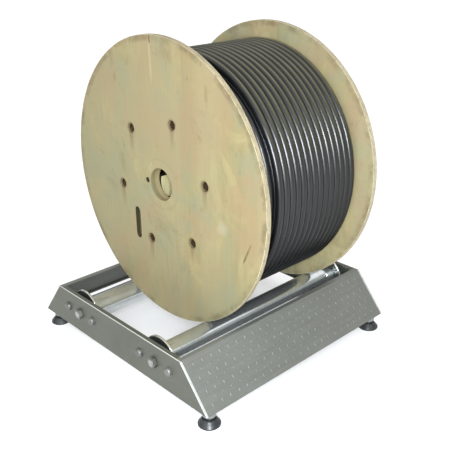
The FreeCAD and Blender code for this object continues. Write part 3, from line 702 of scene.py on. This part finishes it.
def corner_seams(name, side):
    """Corner seams where a side panel meets the two end walls; their pale colour is a painted
    highlight on the lit corner edges.
    """
    proud = 0.0004
    width = 0.0052
    depth = 0.0022
    top, foot, slope, outward = panel_slope(side)
    end_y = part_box("near_end_plate")[0][1]
    section = [(-proud, -depth), (-proud, 0.0), (0.0, proud), (width, proud),
               (width, -proud), (proud, -proud), (proud, -depth)]
    count = len(section)
    points = []
    faces = []
    for end in (-1, 1):
        base = len(points)
        for corner in (top + slope * 0.002, foot - slope * 0.001):
            for inward, lift in section:
                points.append(corner + Vector((0, end * (-end_y - inward), 0)) + outward * lift)
        for item in range(count):
            nearby = (item + 1) % count
            faces.append((base + item, base + nearby, base + count + nearby, base + count + item))
        faces.append(tuple(base + item for item in reversed(range(count))))
        faces.append(tuple(base + count + item for item in range(count)))
    mesh_piece(name, points, faces, "seam_steel", "frame", "smooth_sheet", smooth=False)


def foot_collars():
    """Ribbed hand collars of the levelling feet, narrowing at top and bottom."""
    ribs = 24
    steps = ribs * 6
    rib_depth = 0.0011
    bore = 0.00605
    # Share of the height, share of the radius.
    levels = [(0.0, 0.86), (0.06, 0.97), (0.12, 1.0), (0.5, 1.0), (0.88, 1.0), (0.95, 0.97),
              (1.0, 0.9)]
    faces = ring_faces(steps, len(levels) + 2, flip=True)
    for name in [node for node in NODES if node.endswith("_foot_adjuster")]:
        centre_x, centre_y, _ = middle(name)
        radius = half_width(name)
        bottom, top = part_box(name)[0][2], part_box(name)[1][2]
        points = []
        for step in range(steps):
            angle = 2 * math.pi * step / steps
            rib = 0.5 + 0.5 * math.cos(ribs * angle)
            ring = []
            for level, size in levels:
                depth = rib_depth if 0.1 < level < 0.9 else 0.0
                ring.append((radius * size - depth * (1 - rib), bottom + (top - bottom) * level))
            ring += [(bore, top), (bore, bottom)]
            for reach, height in ring:
                points.append((centre_x + reach * math.cos(angle),
                               centre_y + reach * math.sin(angle), height))
        mesh_piece(name.replace("adjuster", "collar"), points, faces, "frame_steel",
                   name.replace("_adjuster", ""), "frame_steel", hides=(name,))


wind_cable()
raised_marks("front_raised_marks", 1)
raised_marks("rear_raised_marks", -1)
corner_seams("front_corner_seams", 1)
corner_seams("rear_corner_seams", -1)
foot_collars()


# ---------------------------------------------------------------- floor, light and camera

WHITE = (1.0, 1.0, 1.0)


def floor_sheet():
    """A pale floor with a faint glow, so that it stays light under the stand."""
    half = 60.0
    glow = 0.42
    mesh = bpy.data.meshes.new("studio_floor")
    corners = [(-half, -half, 0), (half, -half, 0), (half, half, 0), (-half, half, 0)]
    mesh.from_pydata(corners, [], [(0, 1, 2, 3)])
    floor = add_object("studio_floor", mesh)
    p = Paint("studio_floor")
    tint = p.ramp(p.noise(3.0, 2.0), (0.3, 0.58), (0.7, 0.60))
    mesh.materials.append(p.finish(Base_Color=tint, Roughness=0.9, Specular_IOR_Level=0.1,
                                   Emission_Color=WHITE, Emission_Strength=glow))


def place_lamp(name, lamp, place, target):
    item = add_object(name, lamp)
    item.location = place
    direction = Vector(target) - item.location
    item.rotation_euler = direction.to_track_quat("-Z", "Y").to_euler()


def soft_light(name, place, target, width, height, power, colour=WHITE):
    lamp = bpy.data.lights.new(name, "AREA")
    lamp.shape = "RECTANGLE"
    lamp.size = width
    lamp.size_y = height
    lamp.energy = power
    lamp.color = colour
    place_lamp(name, lamp, place, target)


def sky_light(strength):
    """A very soft sun from above, so that the whole floor is evenly pale."""
    lamp = bpy.data.lights.new("sky_light", "SUN")
    lamp.energy = strength
    lamp.angle = math.radians(110)
    place_lamp("sky_light", lamp, (0.3, -0.6, 5.0), (0, 0, 0))


def studio_world():
    """Pale horizon, darker walls, bright ceiling: polished steel shows light and dark bands.
    The camera itself sees plain white behind the floor."""
    strength = 0.72
    bands = ((0.0, WHITE), (0.10, WHITE), (0.14, (0.34, 0.35, 0.34)),
             (0.22, (0.36, 0.37, 0.36)), (0.45, (0.55, 0.56, 0.55)), (0.8, WHITE))
    world = bpy.data.worlds.new("studio_world")
    bpy.context.scene.world = world
    world.use_nodes = True
    nodes, links = world.node_tree.nodes, world.node_tree.links
    coords = nodes.new("ShaderNodeTexCoord")
    split = nodes.new("ShaderNodeSeparateXYZ")
    ramp = nodes.new("ShaderNodeValToRGB")
    elements = ramp.color_ramp.elements
    while len(elements) < len(bands):
        elements.new(0.5)
    for element, (at, colour) in zip(elements, bands):
        element.position = at
        element.color = (*colour, 1.0)
    background = nodes["Background"]
    background.inputs[1].default_value = strength
    backdrop = nodes.new("ShaderNodeBackground")
    backdrop.inputs[0].default_value = (*WHITE, 1.0)
    seen = nodes.new("ShaderNodeLightPath")
    mix = nodes.new("ShaderNodeMixShader")
    links.new(coords.outputs["Generated"], split.inputs[0])
    links.new(split.outputs[2], ramp.inputs[0])
    links.new(ramp.outputs[0], background.inputs[0])
    links.new(seen.outputs["Is Camera Ray"], mix.inputs[0])
    links.new(background.outputs[0], mix.inputs[1])
    links.new(backdrop.outputs[0], mix.inputs[2])
    links.new(mix.outputs[0], nodes["World Output"].inputs["Surface"])


def set_camera():
    """View from the front right corner, a little above the drum's top."""
    place = (1.42906, -1.26539, 1.13707)
    azimuth = math.radians(47.125)
    elevation = math.radians(22.709)
    roll = math.radians(-0.942)
    lens = bpy.data.cameras.new("camera")
    lens.sensor_width = 36.0
    lens.lens = 55.216
    lens.clip_end = 60.0
    back = Vector((math.sin(azimuth) * math.cos(elevation),
                   -math.cos(azimuth) * math.cos(elevation), math.sin(elevation)))
    right = Vector((math.cos(azimuth), math.sin(azimuth), 0))
    up = back.cross(right)
    level = right * math.cos(roll) + up * math.sin(roll)
    upright = up * math.cos(roll) - right * math.sin(roll)
    turn = Matrix((level, upright, back)).transposed().to_4x4()
    item = add_object("camera", lens)
    item.matrix_world = Matrix.Translation(place) @ turn
    bpy.context.scene.camera = item


floor_sheet()
studio_world()
sky_light(1.85)
soft_light("camera_light", (1.47, -1.31, 1.11), (0, 0, 0.5), width=0.30, height=0.62, power=60,
           colour=(0.87, 0.94, 1.0))
soft_light("front_light", (0.2, -3.4, 1.7), (0, 0, 0.45), width=2.4, height=1.8, power=8)
bpy.context.scene.view_settings.view_transform = "Standard"
set_camera()
